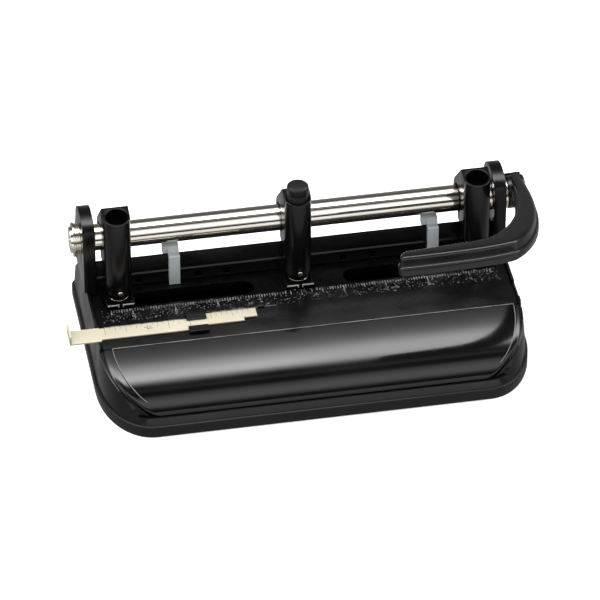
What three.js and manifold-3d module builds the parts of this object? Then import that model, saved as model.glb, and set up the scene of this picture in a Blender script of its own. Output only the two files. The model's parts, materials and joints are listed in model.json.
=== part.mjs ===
// Heavy-duty adjustable three-hole lever punch.
// Millimetres, +Z up. The origin is the middle of the chip tray's underside, and the user stands at -Y.
import * as THREE from "three";
import { mergeVertices } from "three/addons/utils/BufferGeometryUtils.js";
import Module from "manifold-3d";

const wasm = await Module();
wasm.setup();

// ---- Driving dimensions ----
const GAP = 0.3; // clearance between neighbouring pieces
const BASE_HALF_WIDTH = 129.5;
const BASE_HALF_DEPTH = 74.5;
const CORNER_WIDTH = 30; // the front corners are quarter ellipses
const CORNER_DEPTH = 46;
const REAR_CORNER = 7;
const TRAY_HEIGHT = 7.4;
const TRAY_FLOOR = 2.2;
const TRAY_LIP_HEIGHT = 12;
const WALL_INSET = 1.3; // the sheet wall stands this far inside the tray's edge
const WALL = 1.5;
const WALL_TOP = 35;
const DECK_TOP = 33;
const DECK_THICKNESS = 2;
const COVER_THICKNESS = 2;
const COVER_REAR = -28.9; // front edge of the flat deck
const RAIL_FRONT = 28.2;
const RAIL_REAR = 31;
const RAIL_TOP = 52.5;
const SHAFT_RADIUS = 7.94;
const SHAFT_Y = 34.5;
const SHAFT_Z = 67.6;
const EAR_INNER = 120.3;
const EAR_OUTER = 127.6;
const EAR_ROOT = 3.9; // an ear's thickness inside the wall
const HEAD_SPACING = 108; // 4 1/4 inch
const PIN_Y = 17.5;
const HEAD_TOP = 95;
const BORE_RADIUS = 6.75;
const BORE_FLOOR = 44;
const THROAT_BOTTOM = 36;
const THROAT_TOP = 40.6;
const PUNCH_RADIUS = 3.6;
const PLUNGER_BOTTOM = 60;
const PLUNGER_TOP = 79;
const FINGER_REACH = SHAFT_Y - PIN_Y;
const FINGER_REST = (15 * Math.PI) / 180; // the cam finger points this far up at rest
const FINGER_HALF = 1.7;
const GUIDE_BOTTOM = DECK_TOP + GAP;
const GUIDE_THICKNESS = 1;
const HANDLE_LIFT = (16 * Math.PI) / 180; // the lever's slope at rest
const CURVE_STEPS = 10;

// ---- Solids ----
// A closed geometry as a manifold-3d solid.
function solid(geometry) {
  const plain = new THREE.BufferGeometry();
  plain.setAttribute("position", geometry.getAttribute("position"));
  if (geometry.index) plain.setIndex(geometry.index);
  const merged = mergeVertices(plain, 1e-4);
  return new wasm.Manifold(
    new wasm.Mesh({
      numProp: 3,
      vertProperties: new Float32Array(merged.attributes.position.array),
      triVerts: new Uint32Array(merged.index.array),
    }),
  );
}

const join = (first, ...rest) => rest.reduce((made, next) => made.add(next), first);
const cut = (first, ...rest) => rest.reduce((made, next) => made.subtract(next), first);

function box(x0, x1, y0, y1, z0, z1) {
  const geometry = new THREE.BoxGeometry(x1 - x0, y1 - y0, z1 - z0);
  geometry.translate((x0 + x1) / 2, (y0 + y1) / 2, (z0 + z1) / 2);
  return solid(geometry);
}

// A shape in X and Y, from z0 up to z1.
function prism(shape, z0, z1, steps = 1) {
  const geometry = new THREE.ExtrudeGeometry(shape, {
    depth: z1 - z0,
    steps,
    bevelEnabled: false,
    curveSegments: CURVE_STEPS,
  });
  geometry.translate(0, 0, z0);
  return geometry;
}

// A shape drawn as (Y, Z), from x0 to x1.
function sidePrism(shape, x0, x1) {
  const geometry = prism(shape, x0, x1);
  geometry.applyMatrix4(new THREE.Matrix4().set(0, 0, 1, 0, 1, 0, 0, 0, 0, 1, 0, 0, 0, 0, 0, 1));
  return solid(geometry);
}

// A round piece along X through (y, z); the profile is a list of [radius, x] pairs.
function turnedX(profile, y, z, segments = 24) {
  const points = profile.map(([radius, x]) => new THREE.Vector2(radius, x));
  const geometry = new THREE.LatheGeometry(points, segments);
  geometry.rotateZ(-Math.PI / 2);
  geometry.translate(0, y, z);
  return solid(geometry);
}

// A round piece along Z through (x, y); the profile is a list of [radius, z] pairs.
function turnedZ(profile, x, y, segments = 20) {
  const points = profile.map(([radius, z]) => new THREE.Vector2(radius, z));
  const geometry = new THREE.LatheGeometry(points, segments);
  geometry.rotateX(Math.PI / 2);
  geometry.translate(x, y, 0);
  return solid(geometry);
}

const rod = (radius, from, to) => [
  [0, from],
  [radius, from],
  [radius, to],
  [0, to],
];

const ring = (inner, outer, from, to) => [
  [inner, from],
  [outer, from],
  [outer, to],
  [inner, to],
  [inner, from],
];

const polygon = (points) => new THREE.Shape(points.map(([a, b]) => new THREE.Vector2(a, b)));

const group = new THREE.Group();

const finishes = {
  tray: { color: 0x17181a, roughness: 0.7, metalness: 0.0 },
  enamel: { color: 0x0b0c0e, roughness: 0.25, metalness: 0.1 },
  moulded: { color: 0x111214, roughness: 0.4, metalness: 0.0 },
  rubber: { color: 0x131313, roughness: 0.8, metalness: 0.0 },
  chrome: { color: 0xc9c3b6, roughness: 0.12, metalness: 1.0 },
  steel: { color: 0x8d8d8a, roughness: 0.35, metalness: 1.0 },
  plated: { color: 0xd8d0b8, roughness: 0.3, metalness: 0.9 },
  clip: { color: 0xb9c0c8, roughness: 0.5, metalness: 0.0 },
};

function add(name, made, finish) {
  const mesh = made.getMesh();
  const geometry = new THREE.BufferGeometry();
  geometry.setAttribute("position", new THREE.BufferAttribute(mesh.vertProperties, 3));
  geometry.setIndex(new THREE.BufferAttribute(mesh.triVerts, 1));
  geometry.computeVertexNormals();
  const piece = new THREE.Mesh(geometry, new THREE.MeshStandardMaterial(finishes[finish]));
  piece.name = name;
  group.add(piece);
}

// ---- Base ----
// The base's plan, drawn in from the tray's edge by an inset; frontDepth moves the front edge.
function plan(inset, frontDepth = BASE_HALF_DEPTH) {
  const x = BASE_HALF_WIDTH - inset;
  const rear = BASE_HALF_DEPTH - inset;
  const front = -(frontDepth - inset);
  const corner = { x: CORNER_WIDTH - inset, y: CORNER_DEPTH - inset - (BASE_HALF_DEPTH - frontDepth) };
  const shape = new THREE.Shape();
  shape.moveTo(-x + corner.x, front);
  shape.lineTo(x - corner.x, front);
  shape.absellipse(x - corner.x, front + corner.y, corner.x, corner.y, -Math.PI / 2, 0);
  shape.lineTo(x, rear - REAR_CORNER);
  shape.absarc(x - REAR_CORNER, rear - REAR_CORNER, REAR_CORNER, 0, Math.PI / 2);
  shape.lineTo(-x + REAR_CORNER, rear);
  shape.absarc(-x + REAR_CORNER, rear - REAR_CORNER, REAR_CORNER, Math.PI / 2, Math.PI);
  shape.lineTo(-x, front + corner.y);
  shape.absellipse(-x + corner.x, front + corner.y, corner.x, corner.y, Math.PI, Math.PI * 1.5);
  return shape;
}

// The cover's section at a depth below its top surface: points from the deck down to the front edge.
function coverSection(depth) {
  const curve = new THREE.CubicBezierCurve(
    new THREE.Vector2(COVER_REAR, DECK_TOP),
    new THREE.Vector2(-42, 31),
    new THREE.Vector2(-66, 27),
    new THREE.Vector2(-69, 11.5),
  );
  const points = [];
  for (let i = 0; i <= CURVE_STEPS; i++) {
    const t = i / CURVE_STEPS;
    const p = curve.getPoint(t);
    const along = curve.getTangent(t);
    points.push([p.x - along.y * depth, p.y + along.x * depth]);
  }
  return points;
}

const COVER_EDGE = 11.2; // height of the cover's front edge
const COVER_INSET = 4;
const COVER_DEPTH = 73;
const TRAY_LIP_INSET = WALL_INSET + WALL + GAP;

const TRAY_LIP_DEPTH = 71.8; // the lip's front stands clear of the wall's flare

function chipTray() {
  const lip = 1.5;
  const pan = join(
    solid(prism(plan(0), 0, TRAY_HEIGHT)),
    solid(prism(plan(TRAY_LIP_INSET, TRAY_LIP_DEPTH), TRAY_HEIGHT - 1, TRAY_LIP_HEIGHT - 2)),
  );
  const hollow = solid(prism(plan(TRAY_LIP_INSET + lip, TRAY_LIP_DEPTH), TRAY_FLOOR, TRAY_LIP_HEIGHT));
  add("chip_tray", cut(pan, hollow), "tray");
}

// The sheet wall leans in as it rises. Each level gives the base outline it follows there.
const FLARE_TOP = 10.9;
const WALL_LEVELS = [
  { z: TRAY_HEIGHT + GAP, halfWidth: BASE_HALF_WIDTH, depth: BASE_HALF_DEPTH },
  { z: FLARE_TOP, halfWidth: 129.4, depth: 71.9 },
  { z: WALL_TOP, halfWidth: 127.5, depth: 69.5 },
];

// The filled wall, drawn in by an inset and made longer at its top and bottom by extra.
function wallSolid(inset, extra) {
  const geometry = prism(plan(inset), 0, 2, 2);
  const position = geometry.getAttribute("position");
  const hinge = CORNER_DEPTH - BASE_HALF_DEPTH;
  for (let i = 0; i < position.count; i++) {
    const step = Math.round(position.getZ(i));
    const level = WALL_LEVELS[step];
    const y = position.getY(i);
    const deeper = (hinge + level.depth - inset) / (hinge + BASE_HALF_DEPTH - inset);
    position.setX(i, (position.getX(i) * (level.halfWidth - inset)) / (BASE_HALF_WIDTH - inset));
    if (y < hinge) position.setY(i, hinge + (y - hinge) * deeper);
    position.setZ(i, level.z + (step - 1) * extra);
  }
  return solid(geometry);
}

function bodyShell() {
  const outer = wallSolid(WALL_INSET, 0);
  const inner = wallSolid(WALL_INSET + WALL, 1);
  const underCover = coverSection(COVER_THICKNESS + GAP);
  const edge = FLARE_TOP + 0.1;
  const front = [...underCover, [underCover[CURVE_STEPS][0], edge], [-90, edge]];
  const aboveCover = sidePrism(polygon([...front, [-90, 50], [COVER_REAR, 50]]), -140, 140);
  const rearSlope = sidePrism(polygon([[56, 36], [56, 34], [75, 14], [90, 14], [90, 36]]), -140, 140);
  const guideNotch = box(-140, 140, -24.5, -9, DECK_TOP - 0.2, 40);
  add("body_shell", cut(outer, inner, aboveCover, rearSlope, guideNotch), "enamel");
}

function frontCover() {
  const top = coverSection(0);
  const under = coverSection(COVER_THICKNESS).reverse();
  const sheet = sidePrism(polygon([...top, ...under]), -BASE_HALF_WIDTH, BASE_HALF_WIDTH);
  const inPlan = sheet.intersect(solid(prism(plan(COVER_INSET, COVER_DEPTH), COVER_EDGE, 40)));
  add("front_cover", inPlan.intersect(box(-140, 140, -90, COVER_REAR, 0, 50)), "enamel");
}

const DECK_INSET = 5.2;
const DECK_SLOT = { inner: 27, outer: 118, front: 8.4, rear: 21.4 };
const SLOT_FLANGE = { low: 28.4, thickness: 1.2 };

function slot(x0, x1, y0, y1) {
  const radius = (y1 - y0) / 2;
  const shape = new THREE.Shape();
  shape.absarc(x1 - radius, y0 + radius, radius, -Math.PI / 2, Math.PI / 2);
  shape.absarc(x0 + radius, y0 + radius, radius, Math.PI / 2, Math.PI * 1.5);
  return solid(prism(shape, DECK_TOP - 5, DECK_TOP + 5));
}

function deckPlate() {
  const plate = solid(prism(plan(DECK_INSET), DECK_TOP - DECK_THICKNESS, DECK_TOP));
  const flat = plate.intersect(box(-140, 140, COVER_REAR + GAP, RAIL_REAR, 0, 50));
  const { inner, outer, front, rear } = DECK_SLOT;
  const centreHole = turnedZ(rod(5, DECK_TOP - 5, DECK_TOP + 5), 0, PIN_Y);
  const holes = [slot(-outer, -inner, front, rear), slot(inner, outer, front, rear), centreHole];
  const flange = (x0, x1) =>
    box(x0, x1, rear, rear + SLOT_FLANGE.thickness, SLOT_FLANGE.low, DECK_TOP - DECK_THICKNESS / 2);
  const flanges = [flange(-outer + 6, -inner - 6), flange(inner + 6, outer - 6)];
  add("deck_plate", join(cut(flat, ...holes), ...flanges), "enamel");
}

function backRail() {
  const half = EAR_INNER - 0.5;
  const section = [
    [RAIL_FRONT, DECK_TOP + GAP],
    [RAIL_REAR, DECK_TOP + GAP],
    [RAIL_REAR, RAIL_TOP],
    [RAIL_REAR - 2, RAIL_TOP],
    [RAIL_REAR - 2, 42],
    [RAIL_FRONT, 41.2],
  ];
  const holes = [];
  for (const x of [-94, -58.5, -41, 29.5, 47.5, 94]) {
    const hole = new THREE.CylinderGeometry(2.2, 2.2, 8, 12);
    hole.translate(x, RAIL_REAR - 1, 36.8);
    holes.push(solid(hole));
  }
  add("back_rail", cut(sidePrism(polygon(section), -half, half), ...holes), "enamel");
}

function rearCover() {
  const half = EAR_INNER - 0.5;
  const section = polygon([[31.4, 50.2], [71.3, 14.4], [71.3, 11.4], [31.4, 47.2]]);
  add("rear_cover", sidePrism(section, -half, half), "enamel");
}

// An ear carries the shaft. It stands inside the wall, and is thicker above it.
function ear(side) {
  const shape = new THREE.Shape();
  shape.moveTo(23, DECK_TOP + GAP);
  shape.lineTo(RAIL_REAR + GAP, DECK_TOP + GAP);
  shape.lineTo(RAIL_REAR + GAP, TRAY_LIP_HEIGHT);
  shape.lineTo(66.6, TRAY_LIP_HEIGHT);
  shape.lineTo(66.6, 24);
  shape.lineTo(68.6, 31);
  shape.quadraticCurveTo(64.5, 54, 56, 69);
  shape.absellipse(37.5, 69, 18.5, 15.5, 0, Math.PI * 0.78);
  shape.quadraticCurveTo(23, 76, 23, 68);
  const place = (from, to) => (side < 0 ? [-to, -from] : [from, to]);
  const wide = place(EAR_INNER, EAR_OUTER);
  const thinned = box(...place(EAR_INNER + EAR_ROOT, EAR_OUTER + 1), 0, 90, 0, WALL_TOP + GAP);
  const bearing = turnedX(rod(SHAFT_RADIUS + GAP, wide[0] - 1, wide[1] + 1), SHAFT_Y, SHAFT_Z);
  return cut(sidePrism(shape, ...wide), thinned, bearing);
}

// ---- Shaft and its rings ----
const SHAFT_LEFT = -134.2;
const SHAFT_RIGHT = 136;

function shaft() {
  const bar = turnedX(rod(SHAFT_RADIUS, SHAFT_LEFT, SHAFT_RIGHT), SHAFT_Y, SHAFT_Z, 32);
  const notches = [0, 1, 2].map((i) => {
    const slit = new THREE.BoxGeometry(2.4, 1.6, SHAFT_RADIUS * 1.5);
    slit.rotateX((i * Math.PI) / 3);
    slit.translate(SHAFT_LEFT, SHAFT_Y, SHAFT_Z);
    return solid(slit);
  });
  add("shaft", cut(bar, ...notches), "chrome");
}

const onShaft = (outer, from, to) =>
  turnedX(ring(SHAFT_RADIUS + GAP, outer, from, to), SHAFT_Y, SHAFT_Z);

function shaftRings() {
  const ridge = 0.55;
  const coils = [];
  const start = -131.1;
  for (let i = 0; i < 3; i++) {
    coils.push([9.7, start + 1.1 * i], [9.7, start + 1.1 * i + ridge], [9.1, start + 1.1 * i + ridge]);
    if (i < 2) coils.push([9.1, start + 1.1 * (i + 1)]);
  }
  const profile = [[SHAFT_RADIUS + GAP, start], ...coils, [9.1, -127.9], [SHAFT_RADIUS + GAP, -127.9]];
  const eclip = cut(
    onShaft(10.4, -132.6, -131.4),
    box(-133, -131, SHAFT_Y - 2.5, SHAFT_Y + 2.5, SHAFT_Z - 12, SHAFT_Z - 3),
  );
  add("left_eclip", eclip, "steel");
  add("left_bush", turnedX([...profile, profile[0]], SHAFT_Y, SHAFT_Z), "steel");
  add("right_inner_bush", onShaft(9.6, 117.4, 120), "steel");
  add("right_outer_bush", onShaft(9.6, 127.9, 129.2), "steel");
}

// ---- Handle ----
const HUB_INNER = 129.5;
const HUB_RADIUS = 9.9;

// The lever's outline, drawn as (X, distance forward from the shaft).
function handle() {
  const shape = new THREE.Shape();
  shape.moveTo(HUB_INNER, -9);
  shape.bezierCurveTo(131.3, 9.4, 131, 23.4, 126.1, 42.1);
  shape.bezierCurveTo(120.6, 63.2, 113.3, 77.2, 103.1, 85.4);
  shape.bezierCurveTo(96.9, 91.8, 79.9, 91.7, 50.7, 95.2);
  shape.bezierCurveTo(43.8, 96.3, 41.1, 108.8, 48, 109);
  shape.bezierCurveTo(77.6, 108.8, 101.6, 108.3, 114.7, 102.7);
  shape.bezierCurveTo(127.9, 91.8, 139.8, 67.8, 140.9, 28.1);
  shape.bezierCurveTo(141.3, 14, 140.9, 2.3, 140.4, -9);
  const blade = new THREE.ExtrudeGeometry(shape, {
    depth: 10.1,
    bevelEnabled: true,
    bevelThickness: 1.2,
    bevelSize: 1.2,
    bevelOffset: -1.2,
    bevelSegments: 1,
    curveSegments: 7,
  });
  blade.scale(1, -1, 1);
  blade.index = null;
  const lever = flipped(blade);
  lever.translate(0, 0, -1.3);
  lever.rotateX(-HANDLE_LIFT);
  lever.translate(0, SHAFT_Y, SHAFT_Z);
  const hub = turnedX(rod(HUB_RADIUS, HUB_INNER, 140.4), SHAFT_Y, SHAFT_Z);
  const socket = turnedX(rod(SHAFT_RADIUS + GAP, 120, SHAFT_RIGHT + GAP), SHAFT_Y, SHAFT_Z);
  const screwX = 133;
  const screwHole = turnedZ(rod(2, SHAFT_Z - 20, SHAFT_Z), screwX, SHAFT_Y, 12);
  add("handle", cut(join(solid(lever), hub), socket, screwHole), "moulded");
  const screwTop = SHAFT_Z - SHAFT_RADIUS - GAP;
  add("handle_screw", turnedZ(rod(1.7, screwTop - 2.4, screwTop), screwX, SHAFT_Y, 12), "steel");
}

// A mirrored geometry with its triangles turned back to face out.
function flipped(geometry) {
  const position = geometry.getAttribute("position");
  const a = new THREE.Vector3();
  const b = new THREE.Vector3();
  for (let i = 0; i < position.count; i += 3) {
    a.fromBufferAttribute(position, i);
    b.fromBufferAttribute(position, i + 1);
    position.setXYZ(i, b.x, b.y, b.z);
    position.setXYZ(i + 1, a.x, a.y, a.z);
  }
  return geometry;
}

// ---- Punch heads ----
const HEAD_HALF = 8;
const HEAD_BACK = 25;
const HOOD_RADIUS = 12.8; // the hood's outside round the shaft
const SHAFT_CLEARANCE = 9;
const CAM_RADIUS = 10.4;
const HEAD_TOP_FALL = 1.8; // the head's top slopes down this much to its front
const BLOCK_HALF = 8.6; // the lower jaw's half width
const BLOCK_FRONT = 7.9;
const WEB = 1.4; // thickness of the web behind the paper throat
const FOOT_REAR = RAIL_FRONT - GAP;
const FOOT_TOP = 49;
const DIE_RADIUS = 6;

function headBody(x) {
  const column = new THREE.Shape();
  column.absarc(0, PIN_Y, HEAD_HALF, Math.PI, 2 * Math.PI);
  column.lineTo(HEAD_HALF, HEAD_BACK);
  column.lineTo(-HEAD_HALF, HEAD_BACK);
  const hood = new THREE.Shape();
  hood.moveTo(HEAD_BACK - 1, 54);
  hood.lineTo(SHAFT_Y - 1, 54);
  hood.lineTo(SHAFT_Y - 1, SHAFT_Z);
  hood.lineTo(SHAFT_Y + SHAFT_CLEARANCE, SHAFT_Z - 3);
  hood.lineTo(SHAFT_Y + HOOD_RADIUS, SHAFT_Z - 3);
  hood.absarc(SHAFT_Y, SHAFT_Z, HOOD_RADIUS, 0, Math.PI * 0.243);
  hood.lineTo(HEAD_BACK + 1, HEAD_TOP);
  hood.lineTo(HEAD_BACK - 1, HEAD_TOP);
  const casting = join(
    solid(prism(column, THROAT_TOP, HEAD_TOP)),
    sidePrism(hood, -HEAD_HALF, HEAD_HALF),
    box(-HEAD_HALF, HEAD_HALF, HEAD_BACK - 5, FOOT_REAR, THROAT_TOP, FOOT_TOP),
  );
  const cheek = 3.3;
  const fingerSlot = box(-cheek, cheek, PIN_Y, SHAFT_Y, SHAFT_Z - 6, SHAFT_Z + 7);
  const columnFront = PIN_Y - HEAD_HALF;
  const slope = polygon([
    [columnFront - 1, HEAD_TOP - HEAD_TOP_FALL],
    [HEAD_BACK, HEAD_TOP],
    [HEAD_BACK, HEAD_TOP + 5],
    [columnFront - 1, HEAD_TOP + 5],
  ]);
  const made = cut(
    casting,
    sidePrism(slope, -20, 20),
    turnedZ(rod(BORE_RADIUS, BORE_FLOOR, HEAD_TOP + 1), 0, PIN_Y),
    turnedZ(rod(PUNCH_RADIUS + GAP, DECK_TOP, HEAD_TOP), 0, PIN_Y),
    turnedX(rod(SHAFT_CLEARANCE, -20, 20), SHAFT_Y, SHAFT_Z),
    turnedX(rod(CAM_RADIUS + 0.5, -cheek, cheek), SHAFT_Y, SHAFT_Z),
    fingerSlot,
  );
  return made.translate([x, 0, 0]);
}

// The lower jaw holds the die; the web behind it stops the paper and carries the head.
function dieBlock(x) {
  const section = polygon([
    [BLOCK_FRONT, DECK_TOP + GAP],
    [FOOT_REAR, DECK_TOP + GAP],
    [FOOT_REAR, THROAT_TOP - GAP],
    [FOOT_REAR - WEB, THROAT_TOP - GAP],
    [FOOT_REAR - WEB, THROAT_BOTTOM],
    [BLOCK_FRONT, THROAT_BOTTOM],
  ]);
  const seat = turnedZ(rod(DIE_RADIUS + GAP, DECK_TOP, THROAT_BOTTOM + 1), 0, PIN_Y);
  return cut(sidePrism(section, -BLOCK_HALF, BLOCK_HALF), seat).translate([x, 0, 0]);
}

// The pin is cut away behind its axis, so that the cam finger can reach in.
function punchPin(x, stem) {
  const profile = [
    [0, THROAT_TOP + 0.6],
    [PUNCH_RADIUS, THROAT_TOP + 0.6],
    [PUNCH_RADIUS, PLUNGER_BOTTOM],
    [BORE_RADIUS - 0.35, PLUNGER_BOTTOM],
    [BORE_RADIUS - 0.35, PLUNGER_TOP],
  ];
  if (stem) profile.push([4, PLUNGER_TOP], [4, stem]);
  profile.push([0, profile[profile.length - 1][1]]);
  const tip = SHAFT_Z + FINGER_REACH * Math.sin(FINGER_REST);
  const notch = box(-10, 10, PIN_Y - 2.5, PIN_Y + 10, tip - 3.9, tip + 3.9);
  return cut(turnedZ(profile, 0, PIN_Y), notch).translate([x, 0, 0]);
}

function camCollar(x) {
  const half = 3;
  const finger = new THREE.Shape();
  finger.moveTo(-SHAFT_RADIUS - 1, -1.9);
  finger.lineTo(-SHAFT_RADIUS - 1, 1.9);
  finger.lineTo(-FINGER_REACH, FINGER_HALF);
  finger.absarc(-FINGER_REACH, 0, FINGER_HALF, Math.PI / 2, Math.PI * 1.5);
  const blade = prism(finger, -half + 0.5, half - 0.5);
  blade.applyMatrix4(new THREE.Matrix4().set(0, 0, 1, 0, 1, 0, 0, 0, 0, 1, 0, 0, 0, 0, 0, 1));
  blade.rotateX(-FINGER_REST);
  blade.translate(0, SHAFT_Y, SHAFT_Z);
  const collar = turnedX(rod(CAM_RADIUS, -half, half), SHAFT_Y, SHAFT_Z);
  const hole = turnedX(rod(SHAFT_RADIUS + GAP, -half - 1, half + 1), SHAFT_Y, SHAFT_Z);
  return cut(join(collar, solid(blade)), hole).translate([x, 0, 0]);
}

class Helix extends THREE.Curve {
  constructor(radius, low, high, turns) {
    super();
    Object.assign(this, { radius, low, high, turns });
  }
  getPoint(t, target = new THREE.Vector3()) {
    const angle = t * this.turns * 2 * Math.PI;
    const z = this.low + (this.high - this.low) * t;
    return target.set(this.radius * Math.cos(angle), this.radius * Math.sin(angle), z);
  }
}

function pinSpring(x) {
  const wire = 0.65;
  const section = new THREE.Shape();
  section.absarc(0, 0, wire, 0, 2 * Math.PI);
  const path = new Helix(5.2, BORE_FLOOR + wire + GAP, PLUNGER_BOTTOM - wire - GAP, 4);
  const geometry = new THREE.ExtrudeGeometry(section, { steps: 44, curveSegments: 3, extrudePath: path });
  geometry.translate(x, PIN_Y, 0);
  return solid(geometry);
}

function heads() {
  for (const [place, i] of [["left", -1], ["centre", 0], ["right", 1]]) {
    const x = i * HEAD_SPACING;
    add(place + "_head", headBody(x), "enamel");
    add(place + "_die_block", dieBlock(x), "enamel");
    add(place + "_die", turnedZ(ring(PUNCH_RADIUS + 0.35, DIE_RADIUS, DECK_TOP + GAP, THROAT_BOTTOM), x, PIN_Y), "steel");
    add(place + "_pin", punchPin(x, i === 0 && 96), "steel");
    add(place + "_pin_spring", pinSpring(x), "steel");
    add(place + "_cam", camCollar(x), "steel");
    const screw = new THREE.CylinderGeometry(1.5, 1.5, 1.2, 14);
    screw.translate(x, PIN_Y - HEAD_HALF - GAP - 0.6, 43.4);
    add(place + "_head_screw", solid(screw), "steel");
  }
  const cap = [
    [4.3, 89],
    [BORE_RADIUS - 0.35, 89],
    [BORE_RADIUS - 0.35, 97],
    [6, 97.6],
    [BORE_RADIUS - 0.25, 98.4],
    [BORE_RADIUS - 0.25, 102.4],
    [5.2, 103.4],
    [0, 103.4],
    [0, 96.3],
    [4.3, 96.3],
    [4.3, 89],
  ];
  add("centre_cap", turnedZ(cap, 0, PIN_Y, 24), "rubber");
}

// ---- Paper guides ----
// A paper stop hooks over the rail, with a thumb lug behind it and a pocket in its left side.
function paperStop(x) {
  const front = 24.8;
  const section = polygon([
    [front, DECK_TOP + GAP],
    [27.9, DECK_TOP + GAP],
    [27.9, 41.8],
    [28.7, 42.6],
    [28.7, RAIL_TOP + GAP],
    [RAIL_REAR + GAP, RAIL_TOP + GAP],
    [RAIL_REAR + GAP, 51],
    [33.4, 51],
    [34.2, 58.4],
    [29.6, 58.4],
    [28.4, 54.2],
    [front, 53.8],
  ]);
  const block = sidePrism(section, x - 3.3, x + 3.3);
  const lug = box(x - 6.4, x + 2.9, 29.6, 33.9, 53.4, 58.4);
  const pocket = box(x - 4, x - 1, 25.7, 27, 38, 50);
  return cut(join(block, lug), pocket);
}

const GUIDE = { left: -143, step: -60, right: -30, front: -20.6, rear: -10.4, tabWidth: 19 };
const GUIDE_STEP = 3.2; // the guide's inner end stands this far to the rear

function centringGuide() {
  const top = GUIDE_BOTTOM + GUIDE_THICKNESS;
  const tabFront = GUIDE.front - 1.6;
  const strip = join(
    box(GUIDE.left + 3, GUIDE.step, GUIDE.front, GUIDE.rear, GUIDE_BOTTOM, top),
    box(GUIDE.step - 6, GUIDE.right, GUIDE.front + GUIDE_STEP, GUIDE.rear + GUIDE_STEP, GUIDE_BOTTOM, top),
    box(GUIDE.left, GUIDE.left + GUIDE.tabWidth, tabFront, GUIDE.rear + 0.8, GUIDE_BOTTOM, top),
    box(GUIDE.left, GUIDE.left + 1.2, tabFront, GUIDE.rear + 0.8, GUIDE_BOTTOM, top + 5.4),
  );
  const endNotch = box(GUIDE.right - 8, GUIDE.right + 1, GUIDE.front, GUIDE.front + GUIDE_STEP + 3, 30, 40);
  add("centring_guide", cut(strip, endNotch), "plated");
}

// Two tabs hold the guide down by its edges.
function keepers() {
  const low = GUIDE_BOTTOM;
  const over = GUIDE_BOTTOM + GUIDE_THICKNESS + GAP;
  const top = over + 0.9;
  const left = -72;
  const right = -60;
  const lap = 2.2;
  const rearPost = GUIDE.rear + GUIDE_STEP + GAP;
  const rear = join(
    box(left, right, rearPost, rearPost + 3.2, low, top),
    box(left, right, GUIDE.rear - lap, rearPost + 1, over, top),
  );
  const front = join(
    box(left, right, GUIDE.front - GAP - 2.9, GUIDE.front - GAP, low, top),
    box(left, right, GUIDE.front - 1, GUIDE.front + lap, over, top),
  );
  add("rear_guide_keeper", rear, "enamel");
  add("front_guide_keeper", front, "enamel");
}

chipTray();
bodyShell();
frontCover();
deckPlate();
backRail();
rearCover();
add("left_ear", ear(-1), "enamel");
add("right_ear", ear(1), "enamel");
shaft();
shaftRings();
handle();
heads();
add("left_paper_stop", paperStop(-73), "clip");
add("right_paper_stop", paperStop(83.7), "clip");
centringGuide();
keepers();

export default group;
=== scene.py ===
"""Looks of a heavy-duty adjustable three-hole lever punch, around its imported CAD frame."""
import json
import math
import random

import bmesh
import bpy
from mathutils import Matrix, Vector

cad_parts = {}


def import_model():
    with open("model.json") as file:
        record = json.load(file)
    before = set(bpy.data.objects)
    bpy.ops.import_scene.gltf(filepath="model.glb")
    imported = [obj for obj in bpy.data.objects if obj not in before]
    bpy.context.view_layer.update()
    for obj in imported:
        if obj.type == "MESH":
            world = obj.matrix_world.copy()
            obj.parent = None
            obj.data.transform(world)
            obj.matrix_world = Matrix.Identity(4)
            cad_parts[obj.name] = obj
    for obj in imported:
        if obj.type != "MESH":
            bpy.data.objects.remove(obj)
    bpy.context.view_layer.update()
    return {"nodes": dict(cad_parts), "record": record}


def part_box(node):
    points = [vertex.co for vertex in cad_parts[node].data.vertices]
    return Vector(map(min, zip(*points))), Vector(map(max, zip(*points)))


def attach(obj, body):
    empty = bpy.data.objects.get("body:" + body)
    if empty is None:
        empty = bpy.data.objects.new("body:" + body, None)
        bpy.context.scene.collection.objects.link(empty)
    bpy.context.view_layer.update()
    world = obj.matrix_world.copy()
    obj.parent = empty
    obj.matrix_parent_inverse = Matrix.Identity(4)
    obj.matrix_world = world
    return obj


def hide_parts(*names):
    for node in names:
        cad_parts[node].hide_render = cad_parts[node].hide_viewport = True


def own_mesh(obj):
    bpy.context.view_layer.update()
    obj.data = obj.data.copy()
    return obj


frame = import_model()

MM = 0.001
record = frame["record"]
slot_of = {p["node"]: p["material_slot"] for p in record["subparts"]}
body_of = {n: b for b, nodes in record["behaviour"]["bodies"].items() for n in nodes}


# ---- Materials ----
def new_material(name):
    """A material with its nodes, its links and its surface shader."""
    material = bpy.data.materials.new(name)
    material.use_nodes = True
    nodes = material.node_tree.nodes
    return material, nodes, material.node_tree.links, nodes["Principled BSDF"]


def noise(nodes, links, scale, detail=4.0, stretch=(1, 1, 1)):
    """A noise texture in the object's own coordinates, at so many bumps a metre."""
    where = nodes.new("ShaderNodeTexCoord")
    mapping = nodes.new("ShaderNodeMapping")
    mapping.inputs["Scale"].default_value = stretch
    texture = nodes.new("ShaderNodeTexNoise")
    texture.inputs["Scale"].default_value = scale
    texture.inputs["Detail"].default_value = detail
    links.new(where.outputs["Object"], mapping.inputs["Vector"])
    links.new(mapping.outputs["Vector"], texture.inputs["Vector"])
    return texture.outputs["Fac"]


def spread(nodes, links, value, low, high, start=0.35, stop=0.65):
    """Maps the middle of a noise to a range."""
    ranged = nodes.new("ShaderNodeMapRange")
    for socket, number in zip(("From Min", "From Max", "To Min", "To Max"), (start, stop, low, high)):
        ranged.inputs[socket].default_value = number
    links.new(value, ranged.inputs["Value"])
    return ranged.outputs["Result"]


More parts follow.
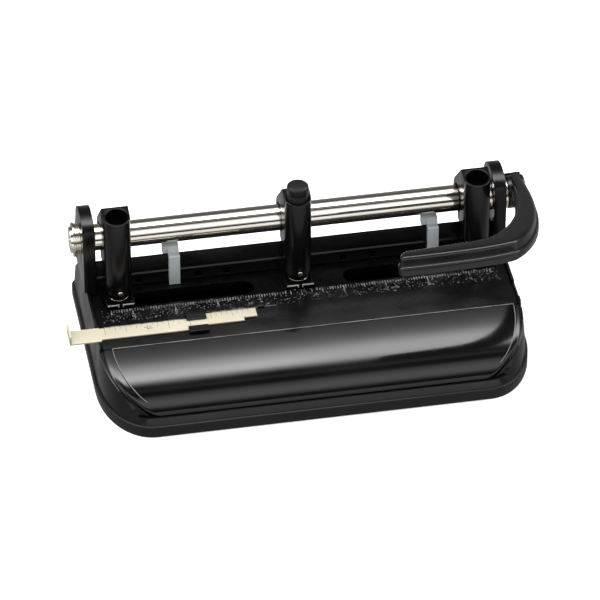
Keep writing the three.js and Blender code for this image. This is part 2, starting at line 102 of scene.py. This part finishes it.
def finish_material(name, colour, dark, rough, metallic=0.0, grain=900.0, bump=0.02, wear=None,
                    stretch=(1, 1, 1), blotch=14.0, specular=0.5):
    """A painted, moulded or plated surface: blotches of colour, roughness that varies and fine grain."""
    material, nodes, links, shader = new_material(name)
    mix = nodes.new("ShaderNodeMix")
    mix.data_type = "RGBA"
    mix.inputs["A"].default_value = (*dark, 1)
    mix.inputs["B"].default_value = (*colour, 1)
    broad = noise(nodes, links, blotch, 6.0)
    links.new(spread(nodes, links, broad, 0.0, 1.0), mix.inputs["Factor"])
    tint = mix.outputs["Result"]
    if wear:
        worn = nodes.new("ShaderNodeMix")
        worn.data_type = "RGBA"
        worn.inputs["B"].default_value = (*wear, 1)
        specks = noise(nodes, links, 420.0, 3.0)
        links.new(spread(nodes, links, specks, 0.0, 0.55, 0.66, 0.78), worn.inputs["Factor"])
        links.new(tint, worn.inputs["A"])
        tint = worn.outputs["Result"]
    links.new(tint, shader.inputs["Base Color"])
    smear = noise(nodes, links, 38.0, 5.0, (1, 1.6, 1))
    links.new(spread(nodes, links, smear, rough[0], rough[1]), shader.inputs["Roughness"])
    shader.inputs["Metallic"].default_value = metallic
    shader.inputs["Specular IOR Level"].default_value = specular
    relief = nodes.new("ShaderNodeBump")
    relief.inputs["Strength"].default_value = bump
    relief.inputs["Distance"].default_value = 0.3 * MM
    links.new(noise(nodes, links, grain, 3.0, stretch), relief.inputs["Height"])
    links.new(relief.outputs["Normal"], shader.inputs["Normal"])
    return material


def make_materials():
    """One material for each of the record's slots, and a few for details."""
    black = (0.0032, 0.0032, 0.0036)
    deep = (0.0014, 0.0014, 0.0016)
    dust = (0.022, 0.022, 0.023)
    return {
        "tray": finish_material("matt_black_moulding", (0.009, 0.009, 0.010), (0.005, 0.005, 0.006),
                                (0.38, 0.52), grain=2600, bump=0.25, wear=dust, specular=0.3),
        "enamel": finish_material("black_enamel", black, deep, (0.22, 0.34), grain=1100, bump=0.06, wear=dust,
                                  specular=0.32),
        "cover": finish_material("gloss_black_enamel", black, deep, (0.10, 0.15), grain=420, bump=0.012,
                                 specular=0.5),
        "casting": finish_material("painted_casting", black, deep, (0.15, 0.26), grain=700, bump=0.12,
                                   wear=dust, specular=0.30),
        "handle": finish_material("satin_black_moulding", (0.0042, 0.0043, 0.0046), (0.0022, 0.0023, 0.0026),
                                  (0.20, 0.28), grain=1500, bump=0.06, wear=dust, specular=0.42),
        "cap": finish_material("black_rubber", (0.005, 0.005, 0.0055), (0.003, 0.003, 0.003), (0.4, 0.55),
                               grain=2200, bump=0.2, specular=0.32),
        "chrome": finish_material("polished_chrome", (0.90, 0.86, 0.79), (0.80, 0.75, 0.67), (0.05, 0.10),
                                  metallic=1.0, grain=1600, bump=0.02, stretch=(0.12, 1, 1)),
        "steel": finish_material("turned_steel", (0.80, 0.74, 0.60), (0.52, 0.47, 0.38), (0.14, 0.30),
                                 metallic=1.0, grain=1800, bump=0.08),
        # on the screw slots this dark colour is painted shade standing in for the recess
        "dark_steel": finish_material("blackened_steel_slot_shade", (0.03, 0.03, 0.03), (0.015, 0.015, 0.015),
                                      (0.25, 0.4), metallic=0.6, grain=1800, bump=0.08),
        "clip": finish_material("pale_grey_moulding", (0.60, 0.65, 0.65), (0.50, 0.55, 0.56), (0.35, 0.48),
                                grain=1800, bump=0.06),
        "plated": finish_material("satin_nickel", (0.56, 0.52, 0.41), (0.47, 0.43, 0.33), (0.36, 0.48),
                                  metallic=0.15, grain=2200, bump=0.05, stretch=(0.15, 1, 1)),
        "ink": finish_material("scale_ink", (0.10, 0.08, 0.05), (0.05, 0.045, 0.03), (0.5, 0.6)),
        # the bead's light grey is a painted highlight along the panel's edge
        "bead": finish_material("bead_painted_highlight", (0.20, 0.21, 0.21), (0.10, 0.105, 0.105), (0.25, 0.4),
                                blotch=60.0),
        "mark": finish_material("index_paint", (0.55, 0.56, 0.55), (0.40, 0.41, 0.40), (0.4, 0.5)),
        "relief": finish_material("worn_relief", (0.22, 0.22, 0.22), (0.014, 0.014, 0.015), (0.3, 0.5),
                                  blotch=260.0, grain=900, bump=0.1),
    }


materials = make_materials()


# ---- Pieces ----
def link(name, mesh, slot, body):
    """Puts a finished mesh in the scene as a piece of the object."""
    piece = bpy.data.objects.new(name, mesh)
    bpy.context.scene.collection.objects.link(piece)
    mesh.materials.clear()
    mesh.materials.append(materials[slot])
    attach(piece, body)
    return piece


def shade(bm, degrees=32):
    """Smooth faces, with edges sharper than the angle left hard."""
    for face in bm.faces:
        face.smooth = True
    for edge in bm.edges:
        if len(edge.link_faces) == 2:
            edge.smooth = edge.calc_face_angle(0) < math.radians(degrees)


def round_edges(bm, width, segments=3, degrees=32):
    """Rounds every edge sharper than the angle."""
    sharp = [e for e in bm.edges if len(e.link_faces) == 2 and e.calc_face_angle(0) > math.radians(degrees)]
    bmesh.ops.bevel(bm, geom=sharp, offset=width * MM, segments=segments, profile=0.5, affect="EDGES",
                    clamp_overlap=True)


def to_mesh(bm, name):
    """Turns a finished bmesh into a named mesh, and frees it."""
    mesh = bpy.data.meshes.new(name)
    bm.to_mesh(mesh)
    bm.free()
    return mesh


def refined(node, width=0.35, segments=3, degrees=32):
    """The CAD node's own shape with its edges rounded, standing for the node."""
    bm = bmesh.new()
    bm.from_mesh(frame["nodes"][node].data)
    bmesh.ops.remove_doubles(bm, verts=bm.verts, dist=0.004 * MM)
    bmesh.ops.dissolve_limit(bm, angle_limit=math.radians(1.0), verts=bm.verts, edges=bm.edges)
    if width:
        round_edges(bm, width, segments, degrees)
    bmesh.ops.triangulate(bm, faces=[f for f in bm.faces if len(f.verts) > 4])
    shade(bm, degrees)
    piece = link(node + "_shape", to_mesh(bm, node + "_shape"), slot_of[node], body_of[node])
    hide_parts(node)
    return piece


def block(bm, x0, x1, y0, y1, z0, z1):
    """A box, in millimetres, added to a mesh."""
    size = Matrix.Diagonal(((x1 - x0) * MM, (y1 - y0) * MM, (z1 - z0) * MM, 1))
    centre = Matrix.Translation(Vector(((x0 + x1) / 2, (y0 + y1) / 2, (z0 + z1) / 2)) * MM)
    bmesh.ops.create_cube(bm, size=1.0, matrix=centre @ size)


# ---- Measures taken from the frame, in millimetres ----
def box_mm(node):
    """A CAD node's low and high corners."""
    low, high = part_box(node)
    return low / MM, high / MM


INCH = 25.4
deck_low, deck_high = box_mm("deck_plate")
cover_low, cover_high = box_mm("front_cover")
tray_low = box_mm("chip_tray")[0]
DECK_TOP = deck_high.z


# ---- Front cover: a convex palm rest with a raised inset panel ----
COVER_CURVE = ((cover_high.y, cover_high.z), (cover_high.y - 13.1, cover_high.z - 2.0),
               (cover_low.y + 3.0, cover_high.z - 6.0), (cover_low.y, cover_low.z))
CORNER_X = 26.0
CORNER_Y = 40.5
SHEET = 1.9
PANEL_RISE = 0.75
PANEL_INSET_X = 4.9
PANEL_INSET_Y = 2.4
PANEL_SHIFT = 1.2


def cover_point(t, depth):
    """The cover's section at t from its rear edge (0) to its front edge (1), as (y, z)."""
    p = [Vector(q) for q in COVER_CURVE]
    s = 1 - t
    place = s**3 * p[0] + 3 * s * s * t * p[1] + 3 * s * t * t * p[2] + t**3 * p[3]
    along = 3 * s * s * (p[1] - p[0]) + 6 * s * t * (p[2] - p[1]) + 3 * t * t * (p[3] - p[2])
    along.normalize()
    return place.x - along.y * depth, place.y + along.x * depth


def cover_half_width(y, inset_x=0.0, inset_y=0.0):
    """Half the cover's width at y, drawn in from its rounded corners."""
    corner_y = cover_low.y + CORNER_Y
    if y >= corner_y:
        return cover_high.x - inset_x
    reach = min(1.0, (corner_y - y) / (CORNER_Y - inset_y))
    return cover_high.x - CORNER_X + (CORNER_X - inset_x) * math.sqrt(1 - reach * reach)


def cover_sheet(bm, top, bottom, inset_x, inset_y, t0, t1, shift=0.0, rows=56, columns=40, sink=None):
    """A closed sheet that follows the cover's section between two depths."""
    grids = []
    for depth in (top, bottom):
        grid = []
        for i in range(rows + 1):
            t = t0 + (t1 - t0) * math.sin(i / rows * math.pi / 2)
            y0 = cover_point(t, 0)[0]
            half = cover_half_width(y0, inset_x, inset_y)
            row = []
            for j in range(columns + 1):
                across = math.sin((j / columns - 0.5) * math.pi)
                drop = sink(half * (1 - abs(across))) if sink else 0.0
                y, z = cover_point(t, depth + drop)
                row.append(bm.verts.new((half * across * MM + shift * MM, y * MM, z * MM)))
            grid.append(row)
        grids.append(grid)
    upper, lower = grids
    for i in range(rows):
        for j in range(columns):
            bm.faces.new((upper[i][j], upper[i + 1][j], upper[i + 1][j + 1], upper[i][j + 1]))
            bm.faces.new((lower[i][j], lower[i][j + 1], lower[i + 1][j + 1], lower[i + 1][j]))
        for j in (0, columns):
            ring = (upper[i][j], lower[i][j], lower[i + 1][j], upper[i + 1][j])
            bm.faces.new(ring if j == 0 else ring[::-1])
    for i in (0, rows):
        for j in range(columns):
            ring = (upper[i][j], upper[i][j + 1], lower[i][j + 1], lower[i][j])
            bm.faces.new(ring if i == 0 else ring[::-1])
    bmesh.ops.recalc_face_normals(bm, faces=bm.faces)


def front_cover():
    """The palm rest, its raised panel, the bead round the panel and the apron at the corners."""
    def shoulder(from_edge):
        """How far the sheet falls near its left and right ends."""
        reach = 3.2
        if from_edge >= reach:
            return 0.0
        return reach * 0.55 * (1 - math.sqrt(max(0.0, 1 - (1 - from_edge / reach) ** 2)))

    bm = bmesh.new()
    cover_sheet(bm, 0.0, SHEET, 0.0, 0.0, 0.0, 0.995, columns=90, sink=shoulder)
    round_edges(bm, 0.5, 3, 50)
    shade(bm, 40)
    piece = link("palm_rest", to_mesh(bm, "palm_rest"), "cover", "base")
    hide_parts("front_cover")
    bm = bmesh.new()
    cover_sheet(bm, -PANEL_RISE, 0.3, PANEL_INSET_X, PANEL_INSET_Y, 0.012, 0.93, shift=PANEL_SHIFT)
    round_edges(bm, 0.45, 3, 50)
    shade(bm, 40)
    link("palm_rest_panel", to_mesh(bm, "palm_rest_panel"), "cover", "base")
    panel_bead()
    cover_apron()


def panel_bead():
    """A fine rolled line along the panel's rear edge and down its left and right ends, coloured light grey as
    a painted highlight.
    """
    bead_radius = 0.26
    front_t, rear_t = 0.80, 0.015
    places = []
    for i in range(26):
        t = front_t - (front_t - rear_t) * (i / 25)
        y, z = cover_point(t, 0.03 - PANEL_RISE)
        half = cover_half_width(cover_point(t, 0)[0], PANEL_INSET_X + 0.4, PANEL_INSET_Y + 0.2)
        places.append(Vector((PANEL_SHIFT - half, y, z)))
    right = [Vector((2 * PANEL_SHIFT - place.x, place.y, place.z)) for place in places]
    middle = [Vector((places[-1].x + (right[-1].x - places[-1].x) * i / 20, places[-1].y, places[-1].z))
              for i in range(1, 20)]
    line = places + middle + right[::-1]
    bm = bmesh.new()
    rings = []
    for i, place in enumerate(line):
        along = (line[min(i + 1, len(line) - 1)] - line[max(i - 1, 0)]).normalized()
        across = along.cross(Vector((0, -0.35, 1))).normalized()
        upward = across.cross(along).normalized()
        rings.append([bm.verts.new((place + (across * math.cos(a) + upward * math.sin(a)) * bead_radius) * MM)
                      for a in [k * math.pi / 3 for k in range(6)]])
    for here, there in zip(rings, rings[1:]):
        for k in range(6):
            n = (k + 1) % 6
            bm.faces.new((here[k], there[k], there[n], here[n]))
    bm.faces.new(rings[0][::-1])
    bm.faces.new(rings[-1])
    bmesh.ops.recalc_face_normals(bm, faces=bm.faces)
    shade(bm, 70)
    link("palm_rest_bead", to_mesh(bm, "palm_rest_bead"), "bead", "base")


def height_at(y_wanted):
    """The cover's top surface at y."""
    low, high = 0.0, 1.0
    for _ in range(30):
        middle = (low + high) / 2
        if cover_point(middle, 0)[0] > y_wanted:
            low = middle
        else:
            high = middle
    return cover_point(low, 0)[1]


def cover_apron():
    """The rim the cover turns down at its rounded corners, closing it to the wall."""
    bm = bmesh.new()
    for side in (-1, 1):
        rings = []
        for i in range(41):
            angle = math.pi / 2 * i / 40
            row = []
            for inset in (0.05, 0.95):
                x = cover_high.x - CORNER_X + (CORNER_X - inset) * math.cos(angle)
                y = cover_low.y + CORNER_Y - (CORNER_Y - inset) * math.sin(angle)
                high = height_at(cover_low.y + CORNER_Y - (CORNER_Y - 0.05) * math.sin(angle)) - 1.0
                for z in (cover_low.z + 0.02, max(high, cover_low.z + 0.2)):
                    row.append(bm.verts.new((side * x * MM, y * MM, z * MM)))
            rings.append([row[0], row[1], row[3], row[2]])
        for here, there in zip(rings, rings[1:]):
            for k in range(4):
                n = (k + 1) % 4
                bm.faces.new((here[k], there[k], there[n], here[n]))
        bm.faces.new(rings[0])
        bm.faces.new(rings[-1][::-1])
    bmesh.ops.recalc_face_normals(bm, faces=bm.faces)
    shade(bm, 40)
    link("cover_apron", to_mesh(bm, "cover_apron"), "enamel", "base")


# ---- Handle: a swept lever in two layers, with a round hub ----
LIFT = math.radians(16)  # the lever's angle at rest
hub_low, hub_high = box_mm("right_outer_bush")
SHAFT_Y = (hub_low.y + hub_high.y) / 2
SHAFT_Z = (hub_low.z + hub_high.z) / 2
HUB_INNER = hub_high.x + 0.3
HUB_BORE = 8.24
HUB_RADIUS = 9.9
HUB_LENGTH = 10.9
HUB_CHAMFER = 0.6
LEVER_OUTLINE = (  # curves through (X from the hub's inner face, distance forward)
    ((0, -9), (1.8, 9.4), (1.5, 23.4), (-3.4, 42.1)),
    ((-3.4, 42.1), (-8.9, 63.2), (-16.2, 77.2), (-26.4, 85.4)),
    ((-26.4, 85.4), (-32.6, 91.8), (-49.6, 91.7), (-78.8, 95.2)),
    ((-78.8, 95.2), (-85.7, 96.3), (-88.4, 108.8), (-81.5, 109)),
    ((-81.5, 109), (-51.9, 108.8), (-27.9, 108.3), (-14.8, 102.7)),
    ((-14.8, 102.7), (-1.6, 91.8), (10.3, 67.8), (11.4, 28.1)),
    ((11.4, 28.1), (11.8, 14), (11.4, 2.3), (10.9, -9)),
)
# Each layer's height over the shaft's centre, and how far the outline draws in there.
LEVER_LAYERS = ((-2.45, 2.0), (-1.9, 0.9), (-1.1, 0.25), (2.4, 0.1), (3.2, 0.3), (3.7, 0.8), (3.85, 1.5),
                (4.1, 1.6), (7.6, 1.6), (8.4, 1.75), (9.1, 2.15), (9.6, 2.75), (9.87, 3.45), (9.95, 4.2))


def lever_path(steps=14):
    """The lever's outline as (X from the hub's inner face, distance forward) points."""
    points = []
    for curve in LEVER_OUTLINE:
        p = [Vector(q) for q in curve]
        for i in range(steps):
            t = i / steps
            s = 1 - t
            points.append(s**3 * p[0] + 3 * s * s * t * p[1] + 3 * s * t * t * p[2] + t**3 * p[3])
    points.append(Vector(LEVER_OUTLINE[-1][-1]))
    return points


def handle():
    """The lever, lofted through its layers, and its round hub."""
    path = lever_path()
    count = len(path)
    inward = []
    for i, point in enumerate(path):
        along = path[(i + 1) % count] - path[i - 1]
        inward.append(Vector((along.y, -along.x)).normalized())
    bm = bmesh.new()
    rings = []
    for z, inset in LEVER_LAYERS:
        ring = []
        for point, normal in zip(path, inward):
            x, forward = point + normal * inset
            y = -forward * math.cos(LIFT) + z * math.sin(LIFT)
            up = forward * math.sin(LIFT) + z * math.cos(LIFT)
            ring.append(bm.verts.new(((HUB_INNER + x) * MM, (SHAFT_Y + y) * MM, (SHAFT_Z + up) * MM)))
        rings.append(ring)
    for low, high in zip(rings, rings[1:]):
        for i in range(count):
            k = (i + 1) % count
            bm.faces.new((low[i], low[k], high[k], high[i]))
    for ring in (rings[0], rings[-1]):
        for i in range(count // 2 - 1):
            corners = (ring[i], ring[i + 1], ring[count - 2 - i], ring[count - 1 - i])
            bm.faces.new(corners)
    bmesh.ops.recalc_face_normals(bm, faces=bm.faces)
    shade(bm, 50)
    piece = link("lever_blade", to_mesh(bm, "lever_blade"), "handle", "lever")
    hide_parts("handle")
    shoulder = HUB_RADIUS - HUB_CHAMFER
    profile = ((HUB_BORE, 0.0), (shoulder, 0.0), (HUB_RADIUS, HUB_CHAMFER),
               (HUB_RADIUS, HUB_LENGTH - HUB_CHAMFER), (shoulder, HUB_LENGTH), (HUB_BORE, HUB_LENGTH))
    turned("lever_hub", profile, HUB_INNER, "handle", "lever")


def turned(name, profile, x, slot, body, segments=64):
    """A ring turned about the shaft's axis from (radius, X) pairs in millimetres."""
    bm = bmesh.new()
    rows = []
    for i in range(segments):
        angle = 2 * math.pi * i / segments
        rows.append([bm.verts.new(((x + along) * MM, (SHAFT_Y + radius * math.cos(angle)) * MM,
                                   (SHAFT_Z + radius * math.sin(angle)) * MM)) for radius, along in profile])
    for i in range(segments):
        here, there = rows[i], rows[(i + 1) % segments]
        for k in range(len(profile)):
            n = (k + 1) % len(profile)
            bm.faces.new((here[k], there[k], there[n], here[n]))
    bmesh.ops.recalc_face_normals(bm, faces=bm.faces)
    shade(bm, 30)
    return link(name, to_mesh(bm, name), slot, body)


# ---- Small details ----
HEADS = (("left", "left_carriage"), ("centre", "base"), ("right", "right_carriage"))
DIGITS = {  # strokes on a grid two wide and four high
    "2": ((0, 4, 2, 4), (2, 2, 2, 4), (0, 2, 2, 2), (0, 0, 0, 2), (0, 0, 2, 0)),
    "3": ((0, 4, 2, 4), (2, 0, 2, 4), (0, 2, 2, 2), (0, 0, 2, 0)),
    "4": ((0, 2, 0, 4), (0, 2, 2, 2), (2, 0, 2, 4)),
}


def numeral(bm, digit, x, y, z, size=0.62, line=0.22, high=0.25):
    """A raised numeral made of straight strokes, read from the front."""
    for x0, y0, x1, y1 in DIGITS[digit]:
        block(bm, x + x0 * size - line, x + x1 * size + line,
              y + y0 * size - line, y + y1 * size + line, z, z + high)


def deck_scale():
    """Pressed inch marks along the deck, a sixteenth apart, mirrored about the middle."""
    bm = bmesh.new()
    rng = random.Random(11)
    top = DECK_TOP
    rear = 6.3
    head_half = 9.5
    last_mark = 72
    for i in range(-last_mark, last_mark + 1):
        x = i * INCH / 16
        if abs(x) < head_half and abs(i) % 4:
            continue
        length = 5.0 if i % 16 == 0 else 3.8 if i % 8 == 0 else 2.9 if i % 4 == 0 else 2.1
        width = 0.26 + 0.1 * rng.random()
        block(bm, x - width, x + width, rear - length * (0.9 + 0.2 * rng.random()), rear, top, top + 0.22)
    for side in (-1, 1):
        for inches in (2, 3, 4):
            numeral(bm, str(inches), side * inches * INCH - 0.6, -2.4, top)
    speck_count = 900
    for _ in range(speck_count):
        x = rng.uniform(-120, 120)
        y = rng.uniform(-4.6, 7.2)
        size = rng.uniform(0.12, 0.34)
        block(bm, x - size, x + size, y - size * 0.8, y + size * 0.8, top, top + 0.12 + 0.1 * rng.random())
    link("deck_scale_marks", to_mesh(bm, "deck_scale_marks"), "relief", "base")


def guide_track():
    """Low ribs that lead the centring rule, and two lugs behind it."""
    high = box_mm("centring_guide")[1]
    rear_low, rear_high = box_mm("rear_guide_keeper")
    bm = bmesh.new()
    block(bm, deck_low.x + 3.5, rear_low.x - 0.4, -9.1, -8.3, DECK_TOP, DECK_TOP + 0.24)
    block(bm, rear_high.x + 1.2, high.x + 13.0, -5.9, -5.3, DECK_TOP, DECK_TOP + 0.5)
    round_edges(bm, 0.15, 2)
    shade(bm)
    link("guide_track_ribs", to_mesh(bm, "guide_track_ribs"), "relief", "base")
    bm = bmesh.new()
    for x in (rear_high.x + 0.4, high.x + 1.6):
        block(bm, x, x + 4.2, -6.4, -3.2, DECK_TOP, DECK_TOP + 1.5)
    round_edges(bm, 0.5, 3)
    shade(bm)
    link("guide_track_stops", to_mesh(bm, "guide_track_stops"), "enamel", "base")


def rule_marks():
    """Printed divisions on the centring rule, and a small pointer."""
    low = box_mm("centring_guide")[0]
    top = DECK_TOP + 1.3
    bm = bmesh.new()
    for i in range(17):
        x = low.x + 22 + i * INCH / 8
        if x > -62:
            break
        length = 6.4 if i % 4 == 0 else 3.4 if i % 2 == 0 else 2.0
        block(bm, x - 0.1, x + 0.1, -10.5 - length, -10.5, top, top + 0.03)
    for i in range(8):
        x = -57 + i * INCH / 8
        length = 5.0 if i % 4 == 0 else 3.0
        block(bm, x - 0.1, x + 0.1, -7.4 - length, -7.4, top, top + 0.03)
    for x, y, wide in ((-97.5, -14.2, 2.2), (-96.2, -15.4, 3.6), (-94.6, -13.6, 1.4)):
        block(bm, x, x + wide, y, y + 0.5, top, top + 0.03)
    link("rule_divisions", to_mesh(bm, "rule_divisions"), "ink", "guide")


def index_marks():
    """White index edges on the front of each lower jaw, either side of a centre notch."""
    notch_half = 1.6
    line = 0.5
    for place, body in HEADS:
        low, high = box_mm(place + "_die_block")
        middle = (low.x + high.x) / 2
        front, rear = low.y - 0.32, low.y - 0.02
        bm = bmesh.new()
        for side in (-1, 1):
            ends = sorted((middle + side * notch_half, middle + side * 7.9))
            block(bm, ends[0], ends[1], front, rear, high.z - 5.0, high.z - 4.3)
        for x in (middle - notch_half, middle + notch_half - line):
            block(bm, x, x + line, front, rear, high.z - 6.2, high.z - 4.3)
        link(place + "_index_mark", to_mesh(bm, place + "_index_mark"), "mark", body)


def screw_slots():
    """A driver slot across each head screw, shown as a dark inlay: painted shade where the slot's recess
    would be.
    """
    for place, body in HEADS:
        low, high = box_mm(place + "_head_screw")
        x, z = (low.x + high.x) / 2, (low.z + high.z) / 2
        bm = bmesh.new()
        block(bm, x - 1.15, x + 1.15, low.y - 0.02, low.y + 0.1, z - 0.18, z + 0.18)
        link(place + "_screw_slot", to_mesh(bm, place + "_screw_slot"), "dark_steel", body)


front_cover()
deck_scale()
guide_track()
rule_marks()
index_marks()
screw_slots()

refined("chip_tray", 0.7)
refined("body_shell", 0.3)
refined("deck_plate", 0.25)
refined("back_rail", 0.3)
refined("rear_cover", 0.6)
refined("left_ear", 1.4, 4)
refined("right_ear", 1.4, 4)
refined("shaft", 0.5)
for ring_node in ("left_eclip", "left_bush", "right_inner_bush", "right_outer_bush"):
    refined(ring_node, 0.12, 2)
handle()
for place, _ in HEADS:
    refined(place + "_head", 0.5, 3)
    refined(place + "_die_block", 0.25)
    refined(place + "_pin", 0.25)
    refined(place + "_cam", 0.3)
    refined(place + "_head_screw", 0.3)
    refined(place + "_die", 0.2)
    spring = refined(place + "_pin_spring", 0)
    spring_low, spring_high = box_mm(place + "_pin_spring")
    foot = (spring_low + spring_high) / 2
    foot.z = spring_low.z
    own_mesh(spring)
refined("centre_cap", 0.4)
refined("left_paper_stop", 0.4)
refined("right_paper_stop", 0.4)
refined("centring_guide", 0.15, 2)
refined("rear_guide_keeper", 0.25)
refined("front_guide_keeper", 0.25)
refined("handle_screw", 0.2)


# ---- Studio ----
def floor():
    """A white floor for the camera; seen in reflections it glows, with painted shade that darkens it towards
    the object.
    """
    material, nodes, links, shader = new_material("studio_floor")
    shader.inputs["Base Color"].default_value = (0.93, 0.93, 0.93, 1)
    shader.inputs["Roughness"].default_value = 0.9
    shader.inputs["Specular IOR Level"].default_value = 0.0
    shader.inputs["Emission Color"].default_value = (1, 1, 1, 1)
    shader.inputs["Emission Strength"].default_value = 0.35
    # seen in reflections the floor glows, fading towards the object: painted shade
    dim = nodes.new("ShaderNodeEmission")
    where = nodes.new("ShaderNodeTexCoord")
    parts = nodes.new("ShaderNodeSeparateXYZ")
    links.new(where.outputs["Object"], parts.inputs["Vector"])
    links.new(spread(nodes, links, parts.outputs["Y"], 1.0, 0.38, -0.20, -0.06), dim.inputs["Strength"])
    path = nodes.new("ShaderNodeLightPath")
    choose = nodes.new("ShaderNodeMixShader")
    links.new(path.outputs["Is Camera Ray"], choose.inputs["Fac"])
    links.new(dim.outputs["Emission"], choose.inputs[1])
    links.new(shader.outputs["BSDF"], choose.inputs[2])
    links.new(choose.outputs["Shader"], nodes["Material Output"].inputs["Surface"])
    bm = bmesh.new()
    bmesh.ops.create_grid(bm, x_segments=1, y_segments=1, size=6.0)
    mesh = to_mesh(bm, "studio_floor")
    mesh.materials.append(material)
    plane = bpy.data.objects.new("studio_floor", mesh)
    plane.location.z = tray_low.z * MM - 0.0002
    bpy.context.scene.collection.objects.link(plane)


def softbox(name, place, target, size, watts):
    """A rectangular area light that faces its target."""
    lamp = bpy.data.lights.new(name, "AREA")
    lamp.shape = "RECTANGLE"
    lamp.size, lamp.size_y = size
    lamp.energy = watts
    holder = bpy.data.objects.new(name, lamp)
    holder.location = place
    holder.rotation_euler = (Vector(target) - Vector(place)).to_track_quat("-Z", "Y").to_euler()
    bpy.context.scene.collection.objects.link(holder)


SKY = (  # angle up from the rear horizon over the top to the front horizon, and how bright it is there
    (0, 0.17), (18, 0.15), (42, 0.08), (50, 0.20), (56, 0.55), (61, 1.1), (66, 2.3), (70, 4.8), (75, 7.6),
    (83, 8.2), (88, 7.0), (92, 2.8), (96, 0.3), (101, 0.05), (104, 0.30), (107, 0.34), (111, 0.05),
    (119, 0.08), (126, 0.9), (140, 1.6), (152, 1.6), (160, 0.9), (166, 0.22), (172, 0.03), (180, 0.02),
)


def world():
    """A white backdrop for the camera, and bands of soft light over the object."""
    scene_world = bpy.data.worlds.new("studio")
    scene_world.use_nodes = True
    nodes = scene_world.node_tree.nodes
    links = scene_world.node_tree.links
    where = nodes.new("ShaderNodeTexCoord")
    parts = nodes.new("ShaderNodeSeparateXYZ")
    links.new(where.outputs["Generated"], parts.inputs["Vector"])
    angle = nodes.new("ShaderNodeMath")
    angle.operation = "ARCTAN2"
    links.new(parts.outputs["Z"], angle.inputs[0])
    links.new(parts.outputs["Y"], angle.inputs[1])
    share = nodes.new("ShaderNodeMath")
    share.operation = "DIVIDE"
    share.inputs[1].default_value = math.pi
    links.new(angle.outputs[0], share.inputs[0])
    ramp = nodes.new("ShaderNodeValToRGB")
    peak = max(level for _, level in SKY)
    stops = ramp.color_ramp.elements
    while len(stops) < len(SKY):
        stops.new(1.0)
    for stop, (degrees, level) in zip(stops, SKY):
        stop.position = degrees / 180
        stop.color = (level / peak, level / peak, level / peak, 1)
    links.new(share.outputs[0], ramp.inputs["Fac"])
    lights = nodes["Background"]
    lights.inputs["Strength"].default_value = peak
    links.new(ramp.outputs["Color"], lights.inputs["Color"])
    backdrop = nodes.new("ShaderNodeBackground")
    backdrop.inputs["Color"].default_value = (1, 1, 1, 1)
    path = nodes.new("ShaderNodeLightPath")
    choose = nodes.new("ShaderNodeMixShader")
    links.new(path.outputs["Is Camera Ray"], choose.inputs["Fac"])
    links.new(lights.outputs["Background"], choose.inputs[1])
    links.new(backdrop.outputs["Background"], choose.inputs[2])
    links.new(choose.outputs["Shader"], nodes["World Output"].inputs["Surface"])
    bpy.context.scene.world = scene_world


def camera():
    """A long lens, far away, from a little left of the front and above."""
    azimuth = math.radians(-10.2)
    elevation = math.radians(38.5)
    view_width = 357.015 * MM  # at the object
    aim_right, aim_up = 0.595 * MM, 6.069 * MM  # how far the scale line's middle is off the view's middle
    towards = Vector((math.sin(azimuth) * math.cos(elevation), -math.cos(azimuth) * math.cos(elevation),
                      math.sin(elevation)))
    right = Vector((math.cos(azimuth), math.sin(azimuth), 0))
    up = towards.cross(right)
    scale_line = Vector((0, 6.5, DECK_TOP)) * MM
    centre = scale_line - right * aim_right - up * aim_up
    distance = 3.2
    lens = bpy.data.cameras.new("camera")
    lens.sensor_width = 36.0
    lens.lens = lens.sensor_width * distance / view_width
    lens.clip_end = 60
    holder = bpy.data.objects.new("camera", lens)
    holder.matrix_world = Matrix((
        (right.x, up.x, towards.x, 0),
        (right.y, up.y, towards.y, 0),
        (right.z, up.z, towards.z, 0),
        (0, 0, 0, 1),
    ))
    holder.location = centre + towards * distance
    bpy.context.scene.collection.objects.link(holder)
    bpy.context.scene.camera = holder


floor()
world()
camera()
softbox("overhead_left", (-0.02, 0.1, 1.2), (-0.02, 0, 0), (0.36, 0.2), 0.5)
softbox("left_side", (-1.5, -0.4, 0.9), (0, 0, 0.05), (0.7, 0.9), 2.0)
bpy.context.scene.view_settings.view_transform = "Standard"
